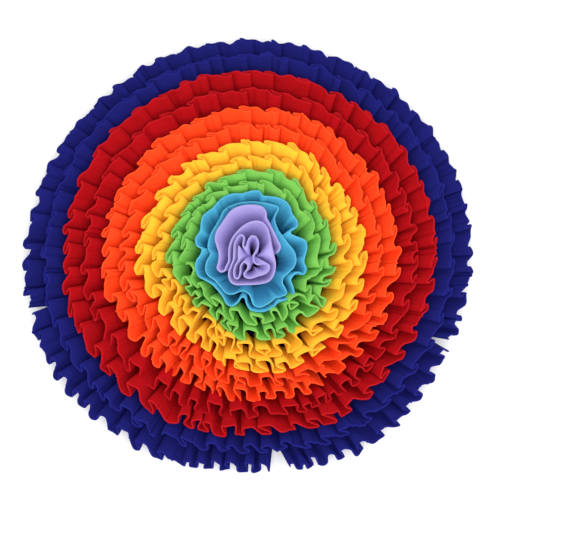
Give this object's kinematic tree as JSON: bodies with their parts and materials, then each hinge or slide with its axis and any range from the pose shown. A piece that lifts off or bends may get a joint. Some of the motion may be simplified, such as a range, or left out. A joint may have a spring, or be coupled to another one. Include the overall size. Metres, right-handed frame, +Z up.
{
  "type": "snuffle mat",
  "caption": "Round snuffle mat: concentric rings of pleated fleece ruffle in rainbow colours, sewn to a base cloth round a rolled rosette. A dog or cat noses treats out of the grooves.",
  "frame": {"origin": "centre of the underside of the base cloth, at floor level", "axes": "+Z up from the floor, +X to the right and +Y to the far side of the mat as seen from in front; clock angles run clockwise from +Y"},
  "size_m": [0.462, 0.4523, 0.0596],
  "materials": {
    "blue": "matt brushed fleece",
    "red": "matt brushed fleece",
    "orange": "matt brushed fleece",
    "yellow": "matt brushed fleece",
    "green": "matt brushed fleece",
    "sky": "matt brushed fleece",
    "lavender": "matt brushed fleece",
    "base": "matt felt"
  },
  "bodies": {
    "root": {"backing": "base", "lavender_rose": "lavender", "blue_outer_a": "blue", "blue_outer_b": "blue", "blue_outer_c": "blue", "blue_inner": "blue", "red_outer": "red", "red_inner": "red", "orange_outer": "orange", "orange_inner": "orange", "yellow_outer": "yellow", "yellow_inner": "yellow", "green_outer": "green", "green_inner": "green", "sky_outer": "sky", "sky_inner": "sky"}
  },
  "joints": []
}
